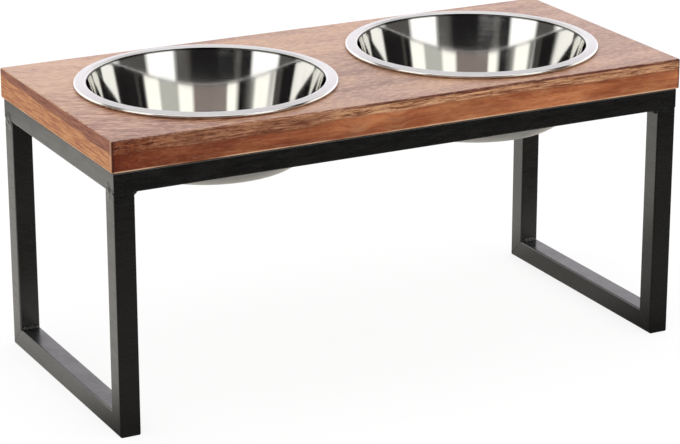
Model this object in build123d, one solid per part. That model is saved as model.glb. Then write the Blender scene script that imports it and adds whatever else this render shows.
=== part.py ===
from build123d import *
import math
import os

# Elevated double feeder for a dog.
#
# A solid wood top carries two drop-in stainless steel bowls and sits on a frame welded from square
# steel tube: a rectangular ring under the top, a leg under each corner of the ring, and a foot rail
# along each end. Plates welded inside the ring take the screws that hold the top down. Both bowls
# lift straight out.
#
# The origin is on the floor under the centre of the top. X runs along the top, Y across it and Z up.
# All lengths are in millimetres and all angles in degrees.

# Bowls
mouth_diameter = 212.0  # inside the wall, where it meets the flange
flange_width = 11.0
sheet = 0.8
bead_diameter = 3.0
lip_rise = 1.4  # climb of the flange from the rolled edge to the lip
lip_radius = 3.0
bowl_depth = 76.0  # from the lip, before it is rounded, to the outside of the floor
bowl_floor_radius = 22.0
wall_taper = 14.0  # lean of the wall from upright
roll_turn = 270.0  # how far round the edge of the flange is rolled
bowl_gap = 36.0  # between the two rims
bowl_seat_gap = 0.3

# Wood top
end_margin = 28.0  # from a rim to the end of the wood
side_margin = 12.0  # from a rim to the long edge of the wood
top_thickness = 28.0
top_height = 265.0  # from the floor to the upper face of the wood
top_edge_radius = 1.2
opening_edge_radius = 1.0
opening_clearance = 2.4  # round the bowl where it passes the upper face of the wood

# Frame of square tube
overhang = 2.0  # how far the wood stands out past the frame on every side
tube_size = 19.0
tube_wall = 1.2
tube_inner_radius = 0.4

# Welds: fillet beads in the inside corners, flat ground seams across the outer faces
bead_leg = 4.0
bead_bulge = 0.6  # 0.5 is a flat face, more is rounder
tab_bead_leg = 3.0
tab_bead_length = 14.0
seam_width = 10.0
seam_height = 1.2

# Plates inside the ring, and the screws through them
tab_thickness = 3.0
corner_tab_leg = 40.0
corner_tab_clearance = 3.0  # between the snipped corner and the weld behind it
corner_screw_inset = 13.0  # from both rails to the screw
centre_tab_length = 34.0
centre_tab_depth = 20.0
centre_screw_inset = 10.0
screw_diameter = 4.0
screw_tip = 4.0
screw_head_diameter = 8.2
screw_head_height = 2.8
recess_span = 4.6
recess_width = 0.9
recess_depth = 1.4
screw_hole_clearance = 0.25  # on the radius, in the plates
pilot_clearance = 0.05  # on the radius, in the wood
pilot_spare = 1.0  # of hole past the tip
wood_over_tip = 11.0  # from the tip to the upper face

# Derived places
rim_diameter = mouth_diameter + 2 * flange_width
bowl_spacing = rim_diameter + bowl_gap
top_length = bowl_spacing + rim_diameter + 2 * end_margin
top_width = rim_diameter + 2 * side_margin
frame_top = top_height - top_thickness
ring_centre = frame_top - tube_size / 2
ring_bottom = frame_top - tube_size
corner_x = top_length / 2 - overhang - tube_size / 2
corner_y = top_width / 2 - overhang - tube_size / 2
inner_x = corner_x - tube_size / 2
inner_y = corner_y - tube_size / 2
outer_x = corner_x + tube_size / 2
outer_y = corner_y + tube_size / 2
tube_outer_radius = tube_inner_radius + tube_wall
seam_length = tube_size - 2 * tube_outer_radius
tab_bottom = frame_top - tab_thickness
corner_tab_snip = bead_leg + corner_tab_clearance
screw_length = tab_thickness + top_thickness - wood_over_tip
screw_hole_radius = screw_diameter / 2 + screw_hole_clearance

bowl_seat = top_height + bowl_seat_gap
mouth_radius = mouth_diameter / 2
lip_height = bowl_seat + bead_diameter + lip_rise
bowl_floor = lip_height - bowl_depth
wall_slope = math.tan(math.radians(wall_taper))
wall_at_wood = mouth_radius + sheet - (lip_height - top_height) * wall_slope
opening_radius = wall_at_wood + opening_clearance

sides = {"left": -1, "right": 1}
faces = {"front": -1, "back": 1}


def wood_top():
    """Solid slab with eased edges, two round openings for the bowls and blind screw holes below."""
    slab = Pos(0, 0, top_height - top_thickness / 2) * Box(top_length, top_width, top_thickness)
    slab = fillet(slab.edges(), top_edge_radius)
    for side in sides.values():
        centre = Pos(side * bowl_spacing / 2, 0, top_height - top_thickness / 2)
        slab -= centre * Cylinder(opening_radius, 2 * top_thickness)
    arcs = slab.edges().filter_by(GeomType.CIRCLE)
    slab = fillet(arcs.filter_by(lambda arc: arc.radius > top_thickness), opening_edge_radius)
    depth = screw_length - tab_thickness + pilot_spare
    for x, y in screw_places():
        hole = Cylinder(screw_diameter / 2 + pilot_clearance, 2 * depth)
        slab -= Pos(x, y, frame_top) * hole
    return slab


def bowl(x):
    """Pressed sheet bowl: flat floor, tapered wall, rounded lip, sloping flange and rolled edge."""
    middle = sheet / 2
    bead_radius = bead_diameter / 2 - middle
    bead_x = rim_diameter / 2 - bead_diameter / 2
    bead_z = bowl_seat + bead_diameter / 2
    run = bead_x - mouth_radius - middle
    flange_slope = math.degrees(math.atan2(lip_rise, run))
    start_angle = 90 - flange_slope
    bead_start_x = bead_x + bead_radius * math.cos(math.radians(start_angle))
    bead_start_z = bead_z + bead_radius * math.sin(math.radians(start_angle))
    lip_x = mouth_radius + middle
    lip_z = lip_height - middle
    floor_z = bowl_floor + middle
    floor_x = lip_x - (lip_z - floor_z) * wall_slope
    path = FilletPolyline(
        (0, floor_z),
        (floor_x, floor_z),
        (lip_x, lip_z),
        (bead_start_x, bead_start_z),
        radius=[bowl_floor_radius, lip_radius],
    )
    roll = CenterArc((bead_x, bead_z), bead_radius, start_angle, -roll_turn)
    section = trace(path.edges() + roll.edges(), line_width=sheet)
    shell = revolve(Plane.XZ * section, Axis.Z)
    return Pos(x, 0, 0) * shell


def square_tube(start, end, start_cut=None, end_cut=None):
    """Hollow square tube on a centre line. A cut is the outward normal of a mitre at that end."""
    start, end = Vector(*start), Vector(*end)
    along = (end - start).normalized()
    side = Vector(1, 0, 0) if abs(along.Z) > 0.5 else Vector(0, 0, 1)
    before = tube_size if start_cut else 0
    after = tube_size if end_cut else 0
    outline = RectangleRounded(tube_size, tube_size, tube_outer_radius)
    bore = RectangleRounded(
        tube_size - 2 * tube_wall, tube_size - 2 * tube_wall, tube_inner_radius
    )
    plane = Plane(origin=start - along * before, x_dir=side, z_dir=along)
    length = (end - start).length + before + after
    tube = extrude(plane * (outline - bore), length)
    for corner, normal in ((start, start_cut), (end, end_cut)):
        if normal:
            tube = split(tube, Plane(origin=corner, z_dir=Vector(*normal)), keep=Keep.BOTTOM)
    return tube


def cross_rail(face):
    """Front or back rail of the ring, mitred at both ends."""
    y = face * corner_y
    return square_tube(
        (-corner_x, y, ring_centre), (corner_x, y, ring_centre), (-1, -face, 0), (1, -face, 0)
    )


def end_rail(side):
    """Left or right rail of the ring, mitred at both ends."""
    x = side * corner_x
    return square_tube(
        (x, -corner_y, ring_centre), (x, corner_y, ring_centre), (-side, -1, 0), (-side, 1, 0)
    )


def leg(side, face):
    """Upright, sawn square under the ring and mitred to the foot rail."""
    x, y = side * corner_x, face * corner_y
    return square_tube((x, y, tube_size / 2), (x, y, ring_bottom), (0, -face, -1))


def foot_rail(side):
    """Rail on the floor between the front and back legs of one end, mitred to both."""
    x, z = side * corner_x, tube_size / 2
    return square_tube((x, -corner_y, z), (x, corner_y, z), (0, -1, 1), (0, 1, 1))


def weld_bead(place, first, second, length, size=bead_leg):
    """Bead in the inside corner between two faces, whose outward directions are given."""
    first, second = Vector(*first), Vector(*second)
    along_first = Line((0, 0), (size, 0))
    crown = ThreePointArc((size, 0), (bead_bulge * size, bead_bulge * size), (0, size))
    along_second = Line((0, size), (0, 0))
    plane = Plane(origin=Vector(*place), x_dir=first, z_dir=first.cross(second))
    return extrude(plane * make_face([along_first, crown, along_second]), length / 2, both=True)


def weld_seam(place, outward, along):
    """Low seam across a butt joint, ground to a shallow crown on the outer face."""
    outward, along = Vector(*outward), Vector(*along)
    foot = Line((seam_width / 2, 0), (-seam_width / 2, 0))
    crown = ThreePointArc((-seam_width / 2, 0), (0, seam_height), (seam_width / 2, 0))
    plane = Plane(origin=Vector(*place), x_dir=outward.cross(along), z_dir=along)
    return extrude(plane * make_face([foot, crown]), seam_length / 2, both=True)


def ring_corner_welds():
    """One upright bead inside each corner of the ring."""
    return [
        weld_bead((s * inner_x, f * inner_y, ring_centre), (-s, 0, 0), (0, -f, 0), seam_length)
        for s in sides.values()
        for f in faces.values()
    ]


def leg_top_welds():
    """On each leg, two beads where its inner faces meet the rails and two seams on its outer faces."""
    down = (0, 0, -1)
    welds = []
    for s in sides.values():
        for f in faces.values():
            x, y = s * corner_x, f * corner_y
            welds.append(weld_bead((s * inner_x, y, ring_bottom), (-s, 0, 0), down, seam_length))
            welds.append(weld_bead((x, f * inner_y, ring_bottom), (0, -f, 0), down, seam_length))
            welds.append(weld_seam((s * outer_x, y, ring_bottom), (s, 0, 0), (0, 1, 0)))
            welds.append(weld_seam((x, f * outer_y, ring_bottom), (0, f, 0), (1, 0, 0)))
    return welds


def foot_corner_welds():
    """One bead inside each corner between a leg and its foot rail."""
    return [
        weld_bead((s * corner_x, f * inner_y, tube_size), (0, -f, 0), (0, 0, 1), seam_length)
        for s in sides.values()
        for f in faces.values()
    ]


def corner_tab(side, face):
    """Three-sided plate in a corner of the ring, snipped clear of the corner weld."""
    outline = Polygon(
        (corner_tab_snip, 0),
        (corner_tab_leg, 0),
        (0, corner_tab_leg),
        (0, corner_tab_snip),
        align=None,
    )
    hole = Pos(corner_screw_inset, corner_screw_inset) * Circle(screw_hole_radius)
    plate = extrude(outline - hole, tab_thickness)
    if side > 0:
        plate = mirror(plate, Plane.YZ)
    if face > 0:
        plate = mirror(plate, Plane.XZ)
    return Pos(side * inner_x, face * inner_y, tab_bottom) * plate


def centre_tab(face):
    """Oblong plate on the inner face of a long rail, midway between the bowls."""
    centre_y = face * (inner_y - centre_tab_depth / 2)
    hole_y = face * (inner_y - centre_screw_inset)
    outline = Pos(0, centre_y) * Rectangle(centre_tab_length, centre_tab_depth)
    outline -= Pos(0, hole_y) * Circle(screw_hole_radius)
    return extrude(Pos(0, 0, tab_bottom) * outline, tab_thickness)


def tab_welds():
    """Short beads under each plate, where it meets the rails."""
    down = (0, 0, -1)
    middle = (corner_tab_snip + corner_tab_leg) / 2
    size = (tab_bead_length, tab_bead_leg)
    beads = []
    for f in faces.values():
        beads.append(weld_bead((0, f * inner_y, tab_bottom), (0, -f, 0), down, *size))
        for s in sides.values():
            on_long_rail = (s * (inner_x - middle), f * inner_y, tab_bottom)
            on_end_rail = (s * inner_x, f * (inner_y - middle), tab_bottom)
            beads.append(weld_bead(on_long_rail, (0, -f, 0), down, *size))
            beads.append(weld_bead(on_end_rail, (-s, 0, 0), down, *size))
    return beads


def screw_places():
    """X and Y of every screw: one in each corner plate and one in each centre plate."""
    corner_screw_x = inner_x - corner_screw_inset
    corner_screw_y = inner_y - corner_screw_inset
    places = [(s * corner_screw_x, f * corner_screw_y) for s in sides.values() for f in faces.values()]
    return places + [(0, f * (inner_y - centre_screw_inset)) for f in faces.values()]


def wood_screw(x, y):
    """Pan head screw with a cross recess, driven upwards through a plate into the wood."""
    radius = screw_diameter / 2
    head = screw_head_diameter / 2
    shank = Line((0, screw_length), (radius, screw_length - screw_tip))
    side = Line((radius, screw_length - screw_tip), (radius, 0))
    underside = Line((radius, 0), (head, 0))
    dome = EllipticalCenterArc((0, 0), head, screw_head_height, 270, arc_size=90)
    axis = Line((0, -screw_head_height), (0, screw_length))
    body = revolve(Plane.XZ * make_face([shank, side, underside, dome, axis]), Axis.Z)
    for long_side, short_side in ((recess_span, recess_width), (recess_width, recess_span)):
        slot = Box(long_side, short_side, 2 * recess_depth)
        body -= Pos(0, 0, -screw_head_height) * slot
    return Pos(x, y, tab_bottom) * body


def save(name, shapes):
    """Writes one sub-part, of one solid or several, to its own file."""
    solids = [solid for shape in shapes for solid in shape.solids()]
    part = solids[0] if len(solids) == 1 else Compound(children=solids)
    export_step(part, os.path.join("parts", name + ".step"))


os.makedirs("parts", exist_ok=True)
save("wood_top", [wood_top()])
for side_name, side in sides.items():
    save("bowl_" + side_name, [bowl(side * bowl_spacing / 2)])
    save(side_name + "_rail", [end_rail(side)])
    save("foot_rail_" + side_name, [foot_rail(side)])
    for face_name, face in faces.items():
        save("leg_" + face_name + "_" + side_name, [leg(side, face)])
        save("corner_tab_" + face_name + "_" + side_name, [corner_tab(side, face)])
for face_name, face in faces.items():
    save(face_name + "_rail", [cross_rail(face)])
    save("centre_tab_" + face_name, [centre_tab(face)])
save("wood_screws", [wood_screw(x, y) for x, y in screw_places()])
save("ring_corner_welds", ring_corner_welds())
save("leg_top_welds", leg_top_welds())
save("foot_corner_welds", foot_corner_welds())
save("tab_welds", tab_welds())
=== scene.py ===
import math

import bmesh
import bpy
from mathutils import Matrix, Vector, noise


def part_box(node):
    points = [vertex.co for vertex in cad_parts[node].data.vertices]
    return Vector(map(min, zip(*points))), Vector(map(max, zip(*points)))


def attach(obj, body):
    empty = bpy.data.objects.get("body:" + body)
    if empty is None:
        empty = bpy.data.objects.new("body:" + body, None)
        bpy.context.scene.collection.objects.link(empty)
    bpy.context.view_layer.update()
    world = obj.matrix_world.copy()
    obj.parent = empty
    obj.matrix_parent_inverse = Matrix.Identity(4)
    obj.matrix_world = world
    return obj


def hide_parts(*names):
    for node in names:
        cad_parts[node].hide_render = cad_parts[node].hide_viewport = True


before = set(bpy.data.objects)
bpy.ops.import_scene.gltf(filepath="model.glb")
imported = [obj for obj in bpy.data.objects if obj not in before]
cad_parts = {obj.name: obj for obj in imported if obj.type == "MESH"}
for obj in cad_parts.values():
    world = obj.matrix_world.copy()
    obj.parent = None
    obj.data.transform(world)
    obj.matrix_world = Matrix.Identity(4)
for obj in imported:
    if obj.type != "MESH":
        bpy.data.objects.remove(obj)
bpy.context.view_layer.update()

# Elevated double feeder: a hardwood top with two drop-in steel bowls on a welded tube frame.
# Lengths are written in millimetres and multiplied by mm. The origin is on the floor under the
# middle of the top, with X along the top, Y towards the back and Z up.

# --- Welded frame ------------------------------------------------------------------------------
# Ten lengths of 19 mm square mild steel tube, cold formed with small round edges. The ring and
# the feet are mitred, the legs are sawn square under the ring, and every sawn end is eased with
# a file, so that each joint still shows as a fine seam under the lacquer.
mm = 0.001
tube_wall = 1.2 * mm
tube_edge_radius = 1.6 * mm
tube_edge_steps = 4
sawn_end_ease = 0.35 * mm
sawn_end_steps = 2
saw_allowance = 1 * mm
square_on = 0.9      # the part of a normal along an axis, above which its face is an end cap
outer_rim = 0.46     # the share of the width from the middle, beyond which a sawn edge is outside


def linear(colour):
    """An sRGB hex colour as linear red, green, blue and alpha."""
    parts = [int(colour[i:i + 2], 16) / 255 for i in (1, 3, 5)]
    return [p / 12.92 if p < 0.04045 else ((p + 0.055) / 1.055) ** 2.4 for p in parts] + [1.0]


def add(tree, kind, inputs=(), **settings):
    """Adds a node. Inputs are numbers, colours, sockets or nodes, by name or in socket order."""
    node = tree.nodes.new("ShaderNode" + kind)
    for setting, value in settings.items():
        setattr(node, setting, value)
    sockets = [socket for socket in node.inputs if socket.enabled]
    named = {socket.name: socket for socket in sockets}
    for key, value in inputs.items() if isinstance(inputs, dict) else enumerate(inputs):
        socket = named[key] if isinstance(key, str) else sockets[key]
        if isinstance(value, bpy.types.Node):
            value = next(output for output in value.outputs if output.enabled)
        if isinstance(value, bpy.types.NodeSocket):
            tree.links.new(value, socket)
        else:
            socket.default_value = value
    return node


def finish_material(name):
    """A new material with an empty tree, and that tree."""
    material = bpy.data.materials.new(name)
    material.use_nodes = True
    material.node_tree.nodes.clear()
    return material, material.node_tree


def finish_piece(name, shape, body, material, nodes):
    """Turns a bmesh into a smooth-shaded piece that rides on a body in place of CAD nodes."""
    mesh = bpy.data.meshes.new(name)
    shape.to_mesh(mesh)
    shape.free()
    mesh.shade_smooth()
    mesh.materials.append(material)
    piece = bpy.data.objects.new(name, mesh)
    bpy.context.collection.objects.link(piece)
    even = piece.modifiers.new("even_shading", "WEIGHTED_NORMAL")
    even.keep_sharp = True
    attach(piece, body)
    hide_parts(*nodes)
    return piece


def lacquered_steel():
    """Black stoving lacquer sprayed on bare steel: near black, with a faint orange peel and a
    satin gloss that is uneven where the spray lay thick or thin or was smeared."""
    material, tree = finish_material("black_lacquered_steel")
    place = add(tree, "VectorMath", [add(tree, "TexCoord").outputs["Object"]], operation="SCALE")
    place.inputs["Scale"].default_value = 1 / mm
    # a coat that is thick and thin over some 40 mm, its orange peel, drawn at 3 mm to show, and
    # smears some 26 mm long and 5 mm high
    coat = add(tree, "TexNoise", {"Vector": place, "Scale": 1 / 40, "Detail": 4.0, "Roughness": 0.6})
    peel = add(tree, "TexNoise", {"Vector": place, "Scale": 1 / 3, "Detail": 2.0})
    smear = add(tree, "VectorMath", [place, (1 / 26, 1 / 26, 1 / 5)], operation="MULTIPLY")
    smears = add(tree, "TexNoise", {"Vector": smear, "Scale": 1.0, "Detail": 5.0, "Roughness": 0.7})
    tone = add(tree, "MapRange", [coat, 0.35, 0.65, 0.0, 1.0])
    colour = add(tree, "Mix", [tone, linear("#090808"), linear("#110f0e")], data_type="RGBA")
    rough = add(tree, "MapRange", [smears, 0.3, 0.7, 0.19, 0.34])
    height = add(tree, "Math", [peel, 0.6, coat], operation="MULTIPLY_ADD")
    bump = add(tree, "Bump", {"Strength": 0.25, "Distance": 0.12 * mm, "Height": height})
    paint = add(tree, "BsdfPrincipled", {
        "Base Color": colour, "Roughness": rough, "IOR": 1.7, "Normal": bump})
    add(tree, "OutputMaterial", {"Surface": paint})
    return material


lacquer = lacquered_steel()


def square_tube(name, node, cuts):
    """Hollow square tube in a node's box. Each cut is an end of its centre line and a normal."""
    low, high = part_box(node)
    size = high - low
    length_axis = max(range(3), key=lambda axis: size[axis])
    tube = bmesh.new()
    bmesh.ops.create_cube(tube, size=1)
    stretch = size.copy()
    stretch[length_axis] += 2 * saw_allowance
    bmesh.ops.scale(tube, vec=stretch, verts=tube.verts)
    bmesh.ops.translate(tube, vec=(low + high) / 2, verts=tube.verts)
    long_edges = [e for e in tube.edges
                  if abs((e.verts[0].co - e.verts[1].co)[length_axis]) > size[length_axis]]
    bmesh.ops.bevel(tube, geom=long_edges, offset=tube_edge_radius, segments=tube_edge_steps,
                    profile=0.5, affect="EDGES", material=-1)
    tube.normal_update()
    caps = [f for f in tube.faces if abs(f.normal[length_axis]) > square_on]
    bmesh.ops.delete(tube, geom=caps, context="FACES")
    bmesh.ops.recalc_face_normals(tube, faces=tube.faces)
    bmesh.ops.solidify(tube, geom=tube.faces[:], thickness=tube_wall)
    for place, normal in cuts:
        sawn = bmesh.ops.bisect_plane(tube, geom=tube.verts[:] + tube.edges[:] + tube.faces[:],
                                      plane_co=place, plane_no=normal, clear_outer=True)
        rims = [e for e in sawn["geom_cut"] if isinstance(e, bmesh.types.BMEdge)]
        bmesh.ops.bridge_loops(tube, edges=rims)
        outer = [e for e in rims if max(abs(e.verts[0].co[i] - (low[i] + high[i]) / 2) / size[i]
                                        for i in range(3) if i != length_axis) > outer_rim]
        bmesh.ops.bevel(tube, geom=outer, offset=sawn_end_ease, segments=sawn_end_steps,
                        profile=0.5, affect="EDGES", material=-1)
    bmesh.ops.recalc_face_normals(tube, faces=tube.faces)
    return finish_piece(name, tube, "stand", lacquer, [node])


ends = {"left": -1, "right": 1}
sides = {"front": -1, "back": 1}
for end, x in ends.items():
    low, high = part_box(end + "_rail")
    outer_x = low.x if x < 0 else high.x
    square_tube(end + "_ring_tube", end + "_rail", [
        ((outer_x, low.y, 0), (-x, -1, 0)), ((outer_x, high.y, 0), (-x, 1, 0))])
    low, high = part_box("foot_rail_" + end)
    square_tube(end + "_foot_tube", "foot_rail_" + end, [
        ((0, low.y, low.z), (0, -1, 1)), ((0, high.y, low.z), (0, 1, 1))])
for side, y in sides.items():
    low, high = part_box(side + "_rail")
    outer_y = low.y if y < 0 else high.y
    square_tube(side + "_ring_tube", side + "_rail", [
        ((low.x, outer_y, 0), (-1, -y, 0)), ((high.x, outer_y, 0), (1, -y, 0))])
    for end in ends:
        node = "leg_" + side + "_" + end
        low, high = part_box(node)
        outer_y = low.y if y < 0 else high.y
        square_tube(side + "_" + end + "_leg_tube", node, [
            ((0, outer_y, low.z), (0, -y, -1)), ((0, 0, high.z), (0, 0, 1))])

# --- Welds -------------------------------------------------------------------------------------
# Hand-laid MIG beads, each a row of overlapping round pools, lacquered over with the tube. The
# inside corners keep their full bead. Across the outer faces of the legs the bead has been
# ground down with a disc to a low, smeared seam.
bead_leg = 4.0 * mm
small_bead_leg = 3.0 * mm
bead_sink = 1.5 * mm
pool_pitch = 2.4 * mm
pool_steps = 4
pool_dip = 0.07
pool_sharpness = 3
bead_end_radius = 0.55   # of the full radius
bead_end_growth = 4      # radii gained per bead length from the end on
bead_turn_steps = 32
bead_waver = 0.35 * mm
waver_size = 3 * mm
turned_merge = 0.001 * mm


def lay(welds, bead):
    """Adds a finished bead to the others of its kind."""
    laid = bpy.data.meshes.new("laid")
    bead.to_mesh(laid)
    bead.free()
    welds.from_mesh(laid)
    bpy.data.meshes.remove(laid)


def weld_bead(welds, place, first, second, length, leg=bead_leg):
    """A scalloped bead, turned about a line just inside the corner and trimmed to both faces."""
    first, second, place = Vector(first), Vector(second), Vector(place)
    bead = bmesh.new()
    radius = math.hypot(leg + bead_sink, bead_sink)
    pools = round(length / pool_pitch)
    last = bead.verts.new((0, 0, -length / 2))
    for step in range(pools * pool_steps + 1):
        along = step / (pools * pool_steps)
        swell = 1 - pool_dip * abs(math.cos(math.pi * along * pools)) ** pool_sharpness
        end_round = min(1.0, bead_end_growth * min(along, 1 - along) + bead_end_radius)
        last = bmesh.ops.extrude_vert_indiv(bead, verts=[last])["verts"][0]
        last.co = (radius * swell * end_round, 0, (along - 0.5) * length)
    tip = bmesh.ops.extrude_vert_indiv(bead, verts=[last])["verts"][0]
    tip.co = (0, 0, length / 2)
    bmesh.ops.spin(bead, geom=bead.verts[:] + bead.edges[:], cent=(0, 0, 0), axis=(0, 0, 1),
                   angle=2 * math.pi, steps=bead_turn_steps, use_merge=True, use_duplicate=False)
    bmesh.ops.remove_doubles(bead, verts=bead.verts, dist=turned_merge)
    bmesh.ops.recalc_face_normals(bead, faces=bead.faces)
    for vert in bead.verts:
        waver = noise.noise((vert.co + place) / waver_size) * bead_waver
        vert.co += vert.normal * waver - Vector((bead_sink, bead_sink, 0))
    for normal in ((-1, 0, 0), (0, -1, 0)):
        cut = bmesh.ops.bisect_plane(bead, geom=bead.verts[:] + bead.edges[:] + bead.faces[:],
                                     plane_co=(0, 0, 0), plane_no=normal, clear_outer=True)
        rim = [e for e in cut["geom_cut"] if isinstance(e, bmesh.types.BMEdge)]
        bmesh.ops.contextual_create(bead, geom=rim)
    turn = Matrix((first, second, first.cross(second))).transposed()
    bmesh.ops.transform(bead, matrix=Matrix.Translation(place) @ turn.to_4x4(), verts=bead.verts)
    lay(welds, bead)


def weld_piece(name, welds, node):
    """The beads of one CAD node as one piece."""
    bmesh.ops.recalc_face_normals(welds, faces=welds.faces)
    return finish_piece(name, welds, "stand", lacquer, [node])


leg_low, leg_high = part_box("leg_back_right")
tube_size = leg_high.x - leg_low.x
inner_x, inner_y = leg_low.x, leg_low.y
outer_x, outer_y = leg_high.x, leg_high.y
middle_x, middle_y = (inner_x + outer_x) / 2, (inner_y + outer_y) / 2
ring_bottom = leg_high.z
ring_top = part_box("left_rail")[1].z
flat_length = tube_size - 2 * tube_edge_radius
down = (0, 0, -1)
corners = [(x, y) for x in ends.values() for y in sides.values()]

ring_beads, leg_beads, foot_beads = bmesh.new(), bmesh.new(), bmesh.new()
for x, y in corners:
    ring_centre = (ring_bottom + ring_top) / 2
    weld_bead(ring_beads, (x * inner_x, y * inner_y, ring_centre), (-x, 0, 0), (0, -y, 0),
              flat_length)
    weld_bead(leg_beads, (x * inner_x, y * middle_y, ring_bottom), (-x, 0, 0), down, flat_length)
    weld_bead(leg_beads, (x * middle_x, y * inner_y, ring_bottom), (0, -y, 0), down, flat_length)
    weld_bead(foot_beads, (x * middle_x, y * inner_y, tube_size), (0, -y, 0), (0, 0, 1),
              flat_length, small_bead_leg)

# Ground seams: a shallow crown over the joint, fading out into the face round it. The ends of
# the frame keep more of the bead than its front and back.
seam_reach = {"end": 22 * mm, "side": 10 * mm}
seam_crown = {"end": 1.1 * mm, "side": 0.25 * mm}
seam_lump = 5 * mm
seam_body, seam_waver = 0.6, 0.9     # of the crown: its mean height and the swing of its lumps
seam_sink = 0.3 * mm
seam_border = 0.08 * mm
seam_steps = 24
for x, y in corners:
    for face, along, kind in (((x, 0, 0), (0, 1, 0), "end"), ((0, y, 0), (1, 0, 0), "side")):
        face, along = Vector(face), Vector(along)
        place = Vector((x * (outer_x if face.x else middle_x),
                        y * (outer_y if face.y else middle_y), ring_bottom))
        seam = bmesh.new()
        bmesh.ops.create_grid(seam, x_segments=seam_steps, y_segments=seam_steps, size=0.5)
        for vert in seam.verts:
            across, up = vert.co.x, vert.co.y
            fade = math.cos(math.pi * across) ** 0.5 * math.cos(math.pi * up) ** 2
            spot = Vector((across * flat_length, up * seam_reach[kind], 0)) + place
            lumps = seam_body + seam_waver * noise.noise(spot / seam_lump)
            vert.co = (max(0, fade * lumps) * seam_crown[kind] - seam_border,
                       across * flat_length, up * seam_reach[kind])
        seam.normal_update()
        if sum(f.normal.x for f in seam.faces) < 0:
            bmesh.ops.reverse_faces(seam, faces=seam.faces)
        bmesh.ops.solidify(seam, geom=seam.faces[:], thickness=seam_sink)
        turn = Matrix((face, along, face.cross(along))).transposed()
        bmesh.ops.transform(seam, matrix=Matrix.Translation(place) @ turn.to_4x4(),
                            verts=seam.verts)
        lay(leg_beads, seam)
weld_piece("ring_corner_beads", ring_beads, "ring_corner_welds")
weld_piece("leg_top_beads", leg_beads, "leg_top_welds")
weld_piece("foot_corner_beads", foot_beads, "foot_corner_welds")

# --- Fixing plates and screws ------------------------------------------------------------------
# Six 3 mm steel plates, welded inside the ring flush with its top and lacquered with it, take
# pan head screws of zinc plated steel, driven up into the wood. The CAD solids stay.
plate_low, plate_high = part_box("corner_tab_front_left")
plate_bottom = plate_low.z
plate_reach = plate_high.x + inner_x
plate_bead_length = 14 * mm
plate_snip = 7 * mm
bead_offset = (plate_snip + plate_reach) / 2
plate_beads = bmesh.new()
for y in sides.values():
    weld_bead(plate_beads, (0, y * inner_y, plate_bottom), (0, -y, 0), down, plate_bead_length,
              small_bead_leg)
for x, y in corners:
    weld_bead(plate_beads, (x * (inner_x - bead_offset), y * inner_y, plate_bottom), (0, -y, 0),
              down, plate_bead_length, small_bead_leg)
    weld_bead(plate_beads, (x * inner_x, y * (inner_y - bead_offset), plate_bottom), (-x, 0, 0),
              down, plate_bead_length, small_bead_leg)
weld_piece("fixing_plate_beads", plate_beads, "tab_welds")


def zinc_plated_steel():
    """Bright zinc on steel, with a thin blue-yellow passivation and fine tumbling marks."""
    material, tree = finish_material("zinc_plated_steel")
    place = add(tree, "TexCoord").outputs["Object"]
    film = add(tree, "TexNoise", {"Vector": place, "Scale": 1 / (3 * mm), "Detail": 3.0})
    marks = add(tree, "TexNoise", {"Vector": place, "Scale": 1 / (0.4 * mm), "Detail": 2.0})
    colour = add(tree, "Mix", [film, linear("#b9bcc4"), linear("#c9c3ae")], data_type="RGBA")
    rough = add(tree, "MapRange", [marks, 0.3, 0.7, 0.25, 0.42])
    bump = add(tree, "Bump", {"Strength": 0.2, "Distance": 0.05 * mm, "Height": marks})
    metal = add(tree, "BsdfPrincipled", {
        "Base Color": colour, "Roughness": rough, "Metallic": 1.0, "Normal": bump})
    add(tree, "OutputMaterial", {"Surface": metal})
    return material


plates = ["centre_tab_" + side for side in sides]
plates += ["corner_tab_" + side + "_" + end for side in sides for end in ends]
for node, material in [(plate, lacquer) for plate in plates] + [
        ("wood_screws", zinc_plated_steel())]:
    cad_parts[node].data.materials.clear()
    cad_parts[node].data.materials.append(material)

# --- Wood top ----------------------------------------------------------------------------------
# One solid board of oiled tropical hardwood, planed to 28 mm, with two round openings routed for
# the bowls and every edge eased with sandpaper. The grain runs along the length of the board.
wood_low, wood_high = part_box("wood_top")
outer_ease = 1.5 * mm
opening_ease = 1.0 * mm
ease_steps = 4
opening_steps = 160
bowl_x = 135 * mm
opening_radius = 108.03 * mm
board_merge = 0.01 * mm
on_axis = 0.001 * mm
corner_angle = 1.0   # radian between two faces, above which their edge gets eased

board = bmesh.new()
bmesh.ops.create_circle(board, cap_ends=False, segments=opening_steps, radius=opening_radius)
spread = bmesh.ops.extrude_edge_only(board, edges=board.edges[:])["geom"]
outline = [v for v in spread if isinstance(v, bmesh.types.BMVert)]
bounds = [Vector((-bowl_x, wood_low.y)), Vector((wood_high.x - bowl_x, wood_high.y))]
for vert in outline:
    reach = [bounds[vert.co[i] > 0][i] / vert.co[i] for i in (0, 1) if abs(vert.co[i]) > on_axis]
    vert.co *= min(reach)
for corner_x in (bounds[0].x, bounds[1].x):
    for corner_y in (bounds[0].y, bounds[1].y):
        corner = Vector((corner_x, corner_y, 0))
        min(outline, key=lambda vert: (vert.co - corner).length).co = corner
bmesh.ops.translate(board, vec=(bowl_x, 0, wood_high.z), verts=board.verts)
bmesh.ops.mirror(board, geom=board.verts[:] + board.edges[:] + board.faces[:],
                 merge_dist=board_merge, axis="X")
bmesh.ops.remove_doubles(board, verts=board.verts, dist=board_merge)
bmesh.ops.recalc_face_normals(board, faces=board.faces)
if sum(f.normal.z for f in board.faces) < 0:
    bmesh.ops.reverse_faces(board, faces=board.faces)
bmesh.ops.solidify(board, geom=board.faces[:], thickness=wood_high.z - wood_low.z)
board.normal_update()


def near_opening(edge):
    """True for an edge on the wall of one of the two openings."""
    return all(math.hypot(abs(v.co.x) - bowl_x, v.co.y) < opening_radius + mm for v in edge.verts)


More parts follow.
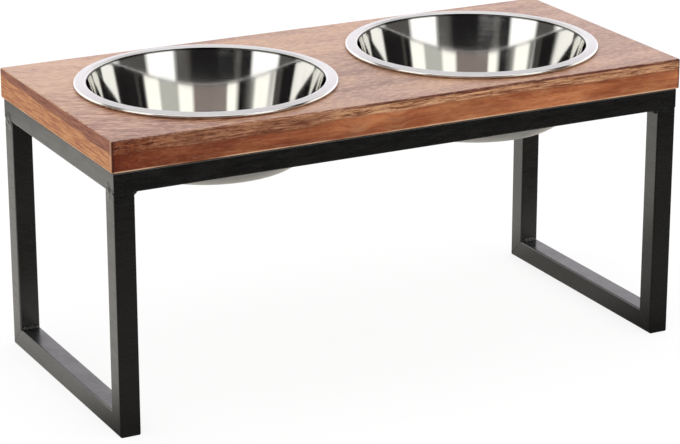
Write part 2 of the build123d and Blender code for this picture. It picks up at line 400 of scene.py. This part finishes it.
square_edges = [e for e in board.edges if e.calc_face_angle(0) > corner_angle]
for edges, ease in (([e for e in square_edges if near_opening(e)], opening_ease),
                    ([e for e in square_edges if not near_opening(e)], outer_ease)):
    bmesh.ops.bevel(board, geom=edges, offset=ease, segments=ease_steps, profile=0.5,
                    affect="EDGES", material=-1)


def oiled_hardwood():
    """Flat-sawn tropical hardwood under a thin oil: a dark, flaky upper layer over a smooth,
    redder one, with long fibres, open pores, a paler top face and a satin sheen."""
    material, tree = finish_material("oiled_hardwood")
    place = add(tree, "VectorMath", [add(tree, "TexCoord").outputs["Object"]], operation="SCALE")
    place.inputs["Scale"].default_value = 1 / mm
    x, y, z = add(tree, "SeparateXYZ", [place]).outputs
    top, bottom = wood_high.z / mm, wood_low.z / mm
    end_x, front_y = wood_high.x / mm, wood_low.y / mm

    def where(*parts):
        """A mask that is 1 where all its parts are 1. A part is another mask, or a value and the
        two numbers that count as 0 and 1, with a smooth step between them."""
        mask = None
        for part in parts:
            if isinstance(part, tuple):
                value, none, full = part
                part = add(tree, "MapRange", [value, none, full, 0.0, 1.0],
                           interpolation_type="SMOOTHSTEP")
            mask = part if mask is None else add(tree, "Math", [mask, part], operation="MULTIPLY")
        return mask

    def near(centre, radius, flat=0.25):
        """1 out to the flat share of the radius round a place on the board, and 0 beyond it."""
        gap = add(tree, "VectorMath", [place, centre], operation="DISTANCE")
        return where((gap, radius, radius * flat))

    def over(colour, mask, amount, tint, blend="MIX"):
        """Lays a tint over a colour, as far as the mask and the amount say."""
        share = add(tree, "Math", [mask, amount], operation="MULTIPLY")
        return add(tree, "Mix", [share, colour, linear(tint)], data_type="RGBA", blend_type=blend)

    # the grain wanders, runs out towards the front near the left end, and swirls round a curl
    wander_length, wander_reach = 150, (0, 20, 5)
    runout_start, runout_rate = 100.0, 0.0014
    curl_radius, curl_lift = 20, 4.5
    curl = add(tree, "Math", [near((-50, front_y, bottom + 8), curl_radius, 0),
                              near((-12, front_y, bottom + 6), curl_radius, 0)], operation="ADD")
    sway = add(tree, "TexNoise", {"Vector": place, "Scale": 1 / wander_length, "Detail": 1.0})
    wander = add(tree, "VectorMath", [sway.outputs["Color"], wander_reach, place],
                 operation="MULTIPLY_ADD")
    past = add(tree, "Math", [x, -1.0, -runout_start], operation="MULTIPLY_ADD")
    past = add(tree, "Math", [past, 0.0], operation="MAXIMUM")
    squared = add(tree, "Math", [past, past], operation="MULTIPLY")
    runout = add(tree, "Math", [squared, -runout_rate], operation="MULTIPLY")
    lift = add(tree, "Math", [curl, curl_lift], operation="MULTIPLY")
    grain = add(tree, "VectorMath", [wander, add(tree, "CombineXYZ", [0.0, runout, lift])],
                operation="ADD")

    def streaks(length, width, depth, **inputs):
        """Noise whose features measure length along the grain, width across it and depth down."""
        size = add(tree, "VectorMath", [grain, (length, width, depth)], operation="DIVIDE")
        return add(tree, "TexNoise", {"Vector": size, "Scale": 1.0, **inputs})

    broad = streaks(130, 30, 12, Detail=4.0, Roughness=0.55)
    clouds = streaks(60, 45, 40, Detail=3.0)
    fibres = streaks(45, 2.2, 1.1, Detail=3.0, Roughness=0.6)
    flakes = streaks(30, 12, 1.9, Detail=3.0, Roughness=0.62, Distortion=0.5)
    ripples = streaks(22, 3.4, 3.4, Detail=2.0, Distortion=0.4)
    pores = streaks(12, 1.1, 0.9, Detail=1.0)
    flecks = streaks(7, 2.0, 1.6, Detail=2.0, Roughness=0.65)
    sawn = streaks(9, 26, 1.6, Detail=4.0, Roughness=0.65)
    on_top = where((z, top - 1.1, top - 0.3))
    across = add(tree, "Math", [x], operation="ABSOLUTE")
    on_end = where((across, end_x - 1.0, end_x - 0.3))
    front = where((y, front_y + 1.2, front_y + 0.4))

    # lower layer: smooth and red-brown, paler and more golden on the sawn ends of the board
    lower = add(tree, "Mix", [where((broad, 0.38, 0.62)), linear("#9c532e"), linear("#c4794b")],
                data_type="RGBA")
    lower = over(lower, where((clouds, 0.50, 0.66)), 0.35, "#c98a58")
    lower = over(lower, where((ripples, 0.54, 0.68)), 0.2, "#d69a68")
    lower = over(lower, where((ripples, 0.44, 0.32)), 0.25, "#84462a")
    gold = add(tree, "Mix", [where((sawn, 0.36, 0.62)), linear("#ab6643"), linear("#d59864")],
               data_type="RGBA")
    lower = add(tree, "Mix", [on_end, lower, gold], data_type="RGBA")
    # upper layer: pale and dark flakes, plainer and darker on the sawn ends
    upper = add(tree, "Mix", [where((broad, 0.38, 0.62)), linear("#b27d59"), linear("#cf9e74")],
                data_type="RGBA")
    upper = over(upper, where((flakes, 0.52, 0.60)), 0.75, "#e5b186")
    upper = over(upper, where((flakes, 0.46, 0.38)), 0.8, "#7a4026")
    dull = add(tree, "Mix", [where((sawn, 0.36, 0.62)), linear("#7c4434"), linear("#a86b50")],
               data_type="RGBA")
    upper = add(tree, "Mix", [on_end, upper, dull], data_type="RGBA")
    # the layers meet about 6 mm down at the back, 11 mm down at the front and lower at the left
    layer_depth, layer_slope, layer_waver, lower_at_left = 10.7, 0.022, 5.0, 2.7
    slope = add(tree, "Math", [y, layer_slope, top - layer_depth], operation="MULTIPLY_ADD")
    left_drop = add(tree, "Math", [where((x, -60, -115)), -lower_at_left], operation="MULTIPLY")
    edge = add(tree, "Math", [clouds, layer_waver, left_drop], operation="MULTIPLY_ADD")
    above = add(tree, "Math", [z, add(tree, "Math", [slope, edge], operation="ADD")],
                operation="SUBTRACT")
    in_upper = where((above, 0.4, 3.0))
    wood = add(tree, "Mix", [in_upper, lower, upper], data_type="RGBA")
    meeting = where(front, (above, 0.2, 1.2), (above, 2.6, 1.4))
    wood = over(wood, meeting, 0.2, "#8a5138", "MULTIPLY")

    # top face: paler and pinker, tan at the back left, violet-brown at the right, painted shade
    # between the bowls, and ribbed at the front left corner where the grain runs out
    face = add(tree, "Mix", [where((broad, 0.36, 0.64)), linear("#a4745b"), linear("#c99c7f")],
               data_type="RGBA")
    face = over(face, where((clouds, 0.50, 0.64)), 0.4, "#d6a67c")
    face = over(face, where((clouds, 0.46, 0.32)), 0.4, "#a0776a")
    face = over(face, near((-240, 60, top), 150), 0.6, "#d2a686")
    face = over(face, near((0, 70, top), 120), 0.35, "#c29876")
    face = over(face, near((235, 10, top), 130), 0.45, "#ab8678")
    face = over(face, where((y, front_y + 34, front_y)), 0.4, "#99664e")
    # painted shade: a grey darkening of the top between the bowls, where the flanges shade it
    face = over(face, near((0, -50, top), 95, 0.3), 0.85, "#dcd8d8", "MULTIPLY")
    corner = near((-end_x, front_y, top), 210, 0.4)
    face = over(face, where(corner, (ripples, 0.54, 0.42)), 0.8, "#b47e62", "MULTIPLY")
    wood = add(tree, "Mix", [on_top, wood, face], data_type="RGBA")

    # darker at the left of the front and a duller stretch beside it, the grey curl, and
    # the dark line on the right-hand edge
    darker_left_front = where(front, (x, -end_x + 120, -end_x + 15))
    wood = over(wood, darker_left_front, 0.95, "#a06e50", "MULTIPLY")
    dull_part = where(front, (x, -end_x + 25, -end_x + 100), (x, -20, -110))
    wood = over(wood, dull_part, 1.0, "#d3c5c0", "MULTIPLY")
    wood = over(wood, where(curl, (fibres, 0.4, 0.6)), 0.5, "#8a6a4e")
    uneven_x = add(tree, "Math", [clouds, 160.0, x], operation="MULTIPLY_ADD")
    dark_line = where((z, top - 2.8, top - 1.3), (y, front_y + 1.6, front_y + 0.3),
                      (uneven_x, -20, 60))
    wood = over(wood, dark_line, 0.95, "#5f2719")
    # fibres, flecks and pores, about 0.2 mm on the real board, drawn at 1 to 2 mm so that they
    # show, and boldest in the upper layer where it shows on the front
    figure = add(tree, "Mix", [in_upper, 0.4, 1.0])
    figure = add(tree, "Mix", [on_top, figure, 0.6])
    figure = add(tree, "Mix", [on_end, figure, 0.5])
    wood = over(wood, where(figure, (fibres, 0.48, 0.30)), 0.8, "#b98b76", "MULTIPLY")
    wood = over(wood, where(figure, (fibres, 0.54, 0.72)), 0.35, "#dbb08e")
    wood = over(wood, where(figure, (flecks, 0.53, 0.62)), 0.6, "#b58a78", "MULTIPLY")
    wood = over(wood, where(on_top, (flecks, 0.47, 0.38)), 0.4, "#e2bb96")
    pore = where(figure, (pores, 0.60, 0.70))
    wood = over(wood, pore, 0.7, "#a87a66", "MULTIPLY")
    # the eased edges: a pale line along the bottom edges, partly sanded-through wood and partly
    # painted highlight; a painted highlight on the end beside its front corner; a darker strip
    # on the front face just in from each end
    # a pale line along the bottom edges: partly sanded-through wood, partly a painted highlight
    worn_and_highlit_edge = where((z, bottom + 2.0, bottom + 0.9), (clouds, 0.3, 0.6))
    wood = over(wood, worn_and_highlit_edge, 0.8, "#f0c8a4")
    # painted highlight: a pale strip on the end face beside its eased front corner
    turned = where(on_end, (y, front_y + 4.5, front_y + 2.0), (z, bottom + 2, bottom + 6))
    wood = over(wood, turned, 0.45, "#dcae8c")
    # darker in a strip on the front face just in from each end
    oiled = where(front, (across, end_x - 3.0, end_x - 1.0))
    wood = over(wood, oiled, 0.7, "#7d4a38", "MULTIPLY")

    satin = add(tree, "MapRange", [fibres, 0.2, 0.8, 0.28, 0.40])
    rough = add(tree, "Mix", [on_end, satin, 0.62])
    hollow = add(tree, "Math", [pore, -1.2, fibres], operation="MULTIPLY_ADD")
    bump = add(tree, "Bump", {"Strength": 0.35, "Distance": 0.15 * mm, "Height": hollow})
    oil = add(tree, "BsdfPrincipled", {
        "Base Color": wood, "Roughness": rough, "IOR": 1.42, "Normal": bump})
    add(tree, "OutputMaterial", {"Surface": oil})
    return material


finish_piece("hardwood_board", board, "stand", oiled_hardwood(), ["wood_top"])

# --- Bowls -------------------------------------------------------------------------------------
# Each bowl is pressed from 0.8 mm stainless sheet: flat floor, tapered wall, round lip and a
# sloping flange whose edge is rolled under. The inside and the roll are polished on a lathe, which
# leaves fine rings, the flange is satin, and the outside keeps the matt skin of the drawn sheet.
sheet = 0.8 * mm
mouth_radius = 106 * mm
bowl_depth = 76 * mm
floor_bend = 22 * mm
lip_bend = 3 * mm
rim_gap = 0.3 * mm
roll_radius = 1.5 * mm
roll_turn = math.radians(270)
wall_climb = math.radians(77.5)
floor_bend_steps, lip_bend_steps, roll_steps = 14, 10, 24
bowl_turn_steps = 256
# depths below the mouth where the painted dark reflection of the lip fades in and out
lip_reflection_depths = (4.0 * mm, 2.6 * mm, 0.9 * mm, 0.2 * mm)  # depths where its black fades in and out


def pressed_bowl(node):
    """The sheet's upper face, drawn from the axis to the end of the roll, turned and thickened."""
    low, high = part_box(node)
    half = sheet / 2
    roll = Vector(((high.x - low.x) / 2 - roll_radius, 0, wood_high.z + rim_gap + roll_radius))
    lip = Vector((mouth_radius + half, 0, low.z + bowl_depth - half))
    floor_z = low.z + half
    floor_corner = lip.x - (lip.z - floor_z) / math.tan(wall_climb)
    flange_fall = math.atan2(lip.z - roll.z - (roll_radius - half), roll.x - lip.x)
    lip_turn = wall_climb + flange_fall
    uphill = Vector((math.cos(wall_climb), 0, math.sin(wall_climb)))
    outward = Vector((math.sin(wall_climb), 0, -math.cos(wall_climb)))
    floor_centre = Vector((floor_corner - floor_bend * math.tan(wall_climb / 2), 0,
                           floor_z + floor_bend))
    lip_centre = lip - uphill * lip_bend * math.tan(lip_turn / 2) + outward * lip_bend
    to_flange = Vector((math.sin(flange_fall), 0, math.cos(flange_fall)))

    shell = bmesh.new()
    last = shell.verts.new((0, 0, floor_z + half))
    for corner, centre, turn, steps in (
            (floor_centre - Vector((0, 0, floor_bend - half)), floor_centre, -wall_climb,
             floor_bend_steps),
            (lip_centre - outward * (lip_bend + half), lip_centre, lip_turn, lip_bend_steps),
            (roll + to_flange * roll_radius, roll, roll_turn, roll_steps)):
        last = bmesh.ops.extrude_vert_indiv(shell, verts=[last])["verts"][0]
        last.co = corner
        last = bmesh.ops.spin(shell, geom=[last], cent=centre, axis=(0, 1, 0), angle=turn,
                              steps=steps, use_merge=False, use_duplicate=False)["geom_last"][0]
    bmesh.ops.spin(shell, geom=shell.verts[:] + shell.edges[:], cent=(0, 0, 0), axis=(0, 0, 1),
                   angle=2 * math.pi, steps=bowl_turn_steps, use_merge=True, use_duplicate=False)
    bmesh.ops.remove_doubles(shell, verts=shell.verts, dist=turned_merge)
    bmesh.ops.recalc_face_normals(shell, faces=shell.faces)
    middle = min(shell.faces, key=lambda face: face.calc_center_median().length)
    if middle.normal.z < 0:
        bmesh.ops.reverse_faces(shell, faces=shell.faces)
    bmesh.ops.solidify(shell, geom=shell.faces[:], thickness=sheet)
    bmesh.ops.translate(shell, vec=((low.x + high.x) / 2, 0, 0), verts=shell.verts)
    return shell


def turned_stainless(name, colour, rough, stretch, metallic=1.0):
    """Stainless steel worked in rings: sharp along each fine ring and blurred across the rings, as
    far as stretch says, so that highlights draw out up the wall. Colour and roughness each go
    from low to high. Below 1, metallic stands for the matt skin of drawn sheet."""
    material, tree = finish_material(name)
    place = add(tree, "TexCoord").outputs["Object"]
    x, y, z = add(tree, "SeparateXYZ", [place]).outputs
    centre = add(tree, "Math", [add(tree, "Math", [x], operation="SIGN"), bowl_x],
                 operation="MULTIPLY")
    spoke = add(tree, "CombineXYZ", [add(tree, "Math", [x, centre], operation="SUBTRACT"), y, 0.0])
    radius = add(tree, "VectorMath", [spoke], operation="LENGTH").outputs["Value"]
    ring_line = add(tree, "VectorMath", [(0, 0, 1), spoke], operation="CROSS_PRODUCT")
    # rings of about 0.1 mm on the real wall, drawn at 1 mm so that they show
    rings_at = add(tree, "CombineXYZ", [radius, z, 0.0])
    rings = add(tree, "TexNoise", {"Vector": rings_at, "Scale": 1 / mm, "Detail": 2.0})
    scuffs = add(tree, "TexNoise", {"Vector": place, "Scale": 1 / (22 * mm), "Detail": 3.0})
    tone = add(tree, "Mix", [scuffs, linear(colour[0]), linear(colour[1])], data_type="RGBA")
    # painted reflection of the lip: a dark band on the wall just below the mouth
    below = add(tree, "Math", [mouth_top, z], operation="SUBTRACT")
    into = add(tree, "MapRange", [below, lip_reflection_depths[0], lip_reflection_depths[1], 0.0, 1.0])
    out = add(tree, "MapRange", [below, lip_reflection_depths[3], lip_reflection_depths[2], 0.0, 1.0])
    inside = add(tree, "Math", [radius, mouth_radius], operation="LESS_THAN")
    painted_lip_reflection = add(tree, "Math", [add(tree, "Math", [into, out], operation="MULTIPLY"), inside],
               operation="MULTIPLY")
    tone = add(tree, "Mix", [painted_lip_reflection, tone, linear("#4a4744")], data_type="RGBA")
    wear = add(tree, "Math", [rings, scuffs], operation="ADD")
    blur = add(tree, "MapRange", [wear, 0.6, 1.4, *rough])
    bump = add(tree, "Bump", {"Strength": 0.08, "Distance": 0.03 * mm, "Height": rings})
    steel = add(tree, "BsdfPrincipled", {
        "Base Color": tone, "Roughness": blur, "Metallic": metallic, "Anisotropic": stretch,
        "Anisotropic Rotation": 0.25, "Tangent": ring_line, "Normal": bump})
    add(tree, "OutputMaterial", {"Surface": steel})
    return material


bowl_low, bowl_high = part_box("bowl_left")
rim_radius = (bowl_high.x - bowl_low.x) / 2
mouth_top = bowl_low.z + bowl_depth
polished_wall = turned_stainless("polished_wall", ("#e2e1dd", "#eae9e5"), (0.03, 0.08), 0.8)
satin_flange = turned_stainless("satin_flange", ("#e4e3e3", "#f0efef"), (0.42, 0.55), 0.3)
drawn_outside = turned_stainless("drawn_outside", ("#e0ded7", "#f0eee8"), (0.34, 0.46), 0.6,
                                 metallic=0.8)
for end in ends:
    shell = pressed_bowl("bowl_" + end)
    bowl = finish_piece(end + "_pressed_bowl", shell, end + "_bowl",
                        polished_wall, ["bowl_" + end])
    bowl.data.materials.append(satin_flange)
    bowl.data.materials.append(drawn_outside)
    for face in bowl.data.polygons:
        spoke = Vector((abs(face.center.x) - bowl_x, face.center.y, 0))
        if mouth_radius < spoke.length < rim_radius - roll_radius:
            face.material_index = 1
        elif spoke.length < mouth_radius and face.normal.z < 0:
            face.material_index = 2

# --- Studio ------------------------------------------------------------------------------------
# A plain pale floor in a white tent. Dark cards stand on the camera's side, with lit gaps
# between them, and the tent is white behind the object and overhead. Only the polished and
# lacquered surfaces mirror the cards.
scene = bpy.context.scene
scene.view_settings.view_transform = "Standard"

camera_place = Vector((-1084.029, -2095.096, 914.566)) * mm
camera_yaw, camera_pitch, camera_roll = (math.radians(a) for a in (-27.311, 18.764, -0.047))
right_angle = math.pi / 2
sensor_width = 36.0
image_width = 680
focal_pixels = 2699.858
camera = bpy.data.objects.new("camera", bpy.data.cameras.new("camera"))
scene.collection.objects.link(camera)
camera.data.sensor_width = sensor_width
camera.data.lens = focal_pixels / image_width * sensor_width
camera.matrix_world = (Matrix.Translation(camera_place)
                       @ Matrix.Rotation(camera_yaw, 4, "Z")
                       @ Matrix.Rotation(right_angle - camera_pitch, 4, "X")
                       @ Matrix.Rotation(camera_roll, 4, "Z"))
scene.camera = camera

to_camera = Vector((math.sin(camera_yaw), -math.cos(camera_yaw), 0))
to_right = Vector((math.cos(camera_yaw), math.sin(camera_yaw), 0))
# light levels of the cards and the tent in linear red, green and blue, where 1 is plain white
white, pearl, grey = (1.42, 1.42, 1.41, 1), (0.72, 0.73, 0.70, 1), (0.45, 0.45, 0.44, 1)
brown, dusk, card = (0.35, 0.29, 0.28, 1), (0.10, 0.095, 0.09, 1), (0.016, 0.015, 0.016, 1)
bright, dim = (1.68, 1.68, 1.62, 1), (0.17, 0.17, 0.165, 1)
haze, overhead, zenith = (1.40, 1.36, 1.44, 1), (1.35, 1.35, 1.35, 1), (0.9, 0.9, 0.9, 1)
# Cards by their angle in degrees round the tent, 0 towards the camera and positive to its right.
# Low cards stand round its foot and side cards in a band a little way up them, where two lit gaps
# are wider. High cards hang above, and back cards over those have brown cloth at the back.
low_cards = [(-180, haze), (-150, haze), (-135, white), (-102, white), (-94, dusk),
             (-75, dusk), (-71, white), (-46, white), (-42, card), (-34, card), (-31, dusk),
             (-28, dusk), (-24, card), (16, card), (22, dusk), (31, dusk), (34, grey),
             (36, white), (61, white), (66, dusk), (94, dusk), (103, white), (135, white),
             (150, haze), (180, haze)]
side_cards = low_cards[:6] + [(-71, white), (-14, white), (-8, card), (22, card),
                              (29, white)] + low_cards[-7:]
high_cards = [(-180, haze), (-135, bright), (-122, bright), (-115, pearl), (-81, pearl),
              (-75, bright), (-49, bright), (-45, card), (43, card), (51, bright), (76, bright),
              (84, grey), (92, dim), (103, card), (112, card), (123, bright), (135, bright),
              (180, haze)]
back_cards = [(-180, brown), (-153, brown), (-145, bright)] + high_cards[2:-2] + [
              (136, bright), (142, brown), (180, brown)]

world = bpy.data.worlds.new("studio")
world.use_nodes = True
scene.world = world
tree = world.node_tree
tree.nodes.clear()
ray = add(tree, "TexCoord").outputs["Generated"]
ahead = add(tree, "VectorMath", [ray, to_camera], operation="DOT_PRODUCT").outputs["Value"]
aside = add(tree, "VectorMath", [ray, to_right], operation="DOT_PRODUCT").outputs["Value"]
turn = add(tree, "Math", [aside, ahead], operation="ARCTAN2")
share = add(tree, "Math", [turn, 1 / (2 * math.pi), 0.5], operation="MULTIPLY_ADD")
climb = add(tree, "SeparateXYZ", [ray]).outputs["Z"]
tiers = []
for stops in (low_cards, side_cards, high_cards, back_cards):
    cards = add(tree, "ValToRGB", [share])
    while len(cards.color_ramp.elements) < len(stops):
        cards.color_ramp.elements.new(0.5)
    for stop, (angle, colour) in zip(cards.color_ramp.elements, stops):
        stop.position = (angle + 180) / 360
        stop.color = colour
    tiers.append(cards.outputs["Color"])
foot_tier, side_tier, high_tier, back_tier = tiers
light = foot_tier
# each band starts to take over at one height and has done so at the next, as sines of the climb
for start, full, colour in ((0.19, 0.22, side_tier), (0.30, 0.33, foot_tier),
                            (0.40, 0.47, high_tier), (0.47, 0.52, back_tier),
                            (0.62, 0.67, card), (0.74, 0.82, overhead), (0.90, 0.98, zenith)):
    part = add(tree, "MapRange", [climb, start, full, 0.0, 1.0], interpolation_type="SMOOTHSTEP")
    light = add(tree, "Mix", [part, light, colour], data_type="RGBA")
path = add(tree, "LightPath").outputs
# matt surfaces are lit by the plain tent, a little brighter overhead; the camera sees it white
plain = add(tree, "MapRange", [climb, -1.0, 1.0, 0.85, 1.1])
plain = add(tree, "CombineColor", [plain, plain, plain])
light = add(tree, "Mix", [path["Is Glossy Ray"], plain, light], data_type="RGBA")
light = add(tree, "Mix", [path["Is Camera Ray"], light, linear("#ffffff")], data_type="RGBA")
add(tree, "OutputWorld", [add(tree, "Background", [light, 1.0])])
world.cycles.sampling_method = "NONE"

floor_reach = 4000 * mm
floor_mesh = bmesh.new()
bmesh.ops.create_grid(floor_mesh, x_segments=1, y_segments=1, size=floor_reach)
floor_data = bpy.data.meshes.new("floor")
floor_mesh.to_mesh(floor_data)
floor_mesh.free()
floor = bpy.data.objects.new("floor", floor_data)
scene.collection.objects.link(floor)
paper, tree = finish_material("pale_floor")
path = add(tree, "LightPath").outputs
side, depth, _ = add(tree, "SeparateXYZ", [add(tree, "TexCoord").outputs["Object"]]).outputs
# steel mirrors a dark card on the floor in front of the feet, darker still far out, and the dim
# floor far behind
near_card = add(tree, "MapRange", [depth, 20 * mm, -140 * mm, 1.13, 0.18],
                interpolation_type="SMOOTHSTEP")
far_card = add(tree, "MapRange", [depth, -550 * mm, -780 * mm, 0.0, 0.17],
               interpolation_type="SMOOTHSTEP")
behind = add(tree, "MapRange", [depth, 740 * mm, 920 * mm, 1.0, 0.45],
             interpolation_type="SMOOTHSTEP")
mirrored = add(tree, "Math", [near_card, far_card], operation="SUBTRACT")
mirrored = add(tree, "Math", [mirrored, behind], operation="MULTIPLY")
# the feet mirror the shade under the board
shade = add(tree, "MapRange", [side, -360 * mm, -220 * mm, 0.0, 0.6],
            interpolation_type="SMOOTHSTEP")
for outside, under in ((220, 100), (-200, -120)):
    part = add(tree, "MapRange", [depth, outside * mm, under * mm, 0.0, 1.0],
               interpolation_type="SMOOTHSTEP")
    shade = add(tree, "Math", [shade, part], operation="MULTIPLY")
lit = add(tree, "Math", [1.0, shade], operation="SUBTRACT")
mirrored = add(tree, "Math", [mirrored, lit], operation="MULTIPLY")
mirrored = add(tree, "Emission", [linear("#fffbf3"), mirrored])
# what lights the matt surfaces, and what the camera sees: white paper that keeps the shadow
plain = add(tree, "BsdfDiffuse", [linear("#e6e6e6")])
pale = add(tree, "BsdfDiffuse", [linear("#7c7c7c")])
glow = add(tree, "Emission", [linear("#ffffff"), 0.825])
shadowed = add(tree, "AddShader", [pale, glow])
seen = add(tree, "MixShader", [path["Is Camera Ray"], plain, shadowed])
add(tree, "OutputMaterial", [add(tree, "MixShader", [path["Is Glossy Ray"], seen, mirrored])])
paper.cycles.emission_sampling = "NONE"
floor_data.materials.append(paper)
